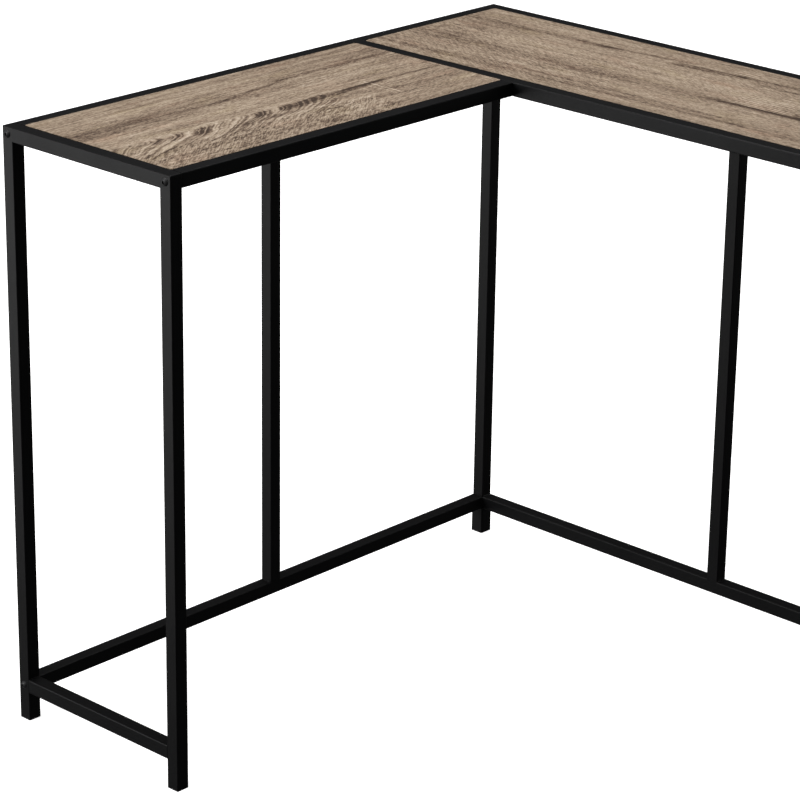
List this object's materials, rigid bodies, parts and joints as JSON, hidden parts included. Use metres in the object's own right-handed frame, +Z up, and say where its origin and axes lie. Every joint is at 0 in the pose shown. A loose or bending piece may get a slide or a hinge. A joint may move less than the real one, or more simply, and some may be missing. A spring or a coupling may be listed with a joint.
{
  "type": "corner desk",
  "caption": "L-shaped corner desk: two narrow arms of flush wood-look board in a black square-tube frame, with legs at both ends, a corner post and low wall-side stretchers.",
  "frame": {"origin": "on the floor, in the middle of the square that the two arms span", "axes": "+Z up; +X along the right arm away from the wall corner; -Y along the left arm away from the wall corner, so the wall corner is at -X, +Y"},
  "size_m": [0.9198, 0.9198, 0.813],
  "materials": {
    "powder_coated_steel": "satin powder coat",
    "oak_laminate": "matt rough-sawn oak print",
    "foot_plastic": "matt moulded",
    "black_bolt_steel": "black oxide",
    "zinc_plated_steel": "zinc plated"
  },
  "bodies": {
    "root": {"left_wall_leg": "powder_coated_steel", "left_inner_leg": "powder_coated_steel", "left_end_rail": "powder_coated_steel", "left_end_stretcher": "powder_coated_steel", "left_back_rail": "powder_coated_steel", "left_inner_rail": "powder_coated_steel", "left_lower_stretcher": "powder_coated_steel", "left_mid_upright": "powder_coated_steel", "corner_post": "powder_coated_steel", "right_wall_leg": "powder_coated_steel", "right_inner_leg": "powder_coated_steel", "right_end_rail": "powder_coated_steel", "right_end_stretcher": "powder_coated_steel", "right_back_rail": "powder_coated_steel", "cross_rail": "powder_coated_steel", "right_lower_stretcher": "powder_coated_steel", "right_mid_upright": "powder_coated_steel", "leg_caps": "powder_coated_steel", "left_board_tabs": "powder_coated_steel", "right_board_tabs": "powder_coated_steel", "leg_feet": "foot_plastic", "corner_boot": "foot_plastic", "left_board": "oak_laminate", "right_board": "oak_laminate", "left_board_screws": "zinc_plated_steel", "right_board_screws": "zinc_plated_steel", "left_rail_inserts": "zinc_plated_steel", "right_rail_inserts": "zinc_plated_steel", "left_end_bolts": "black_bolt_steel", "right_end_bolts": "black_bolt_steel", "corner_post_bolts": "black_bolt_steel", "cross_rail_bolt": "black_bolt_steel", "inner_corner_bolt": "black_bolt_steel"}
  },
  "joints": []
}
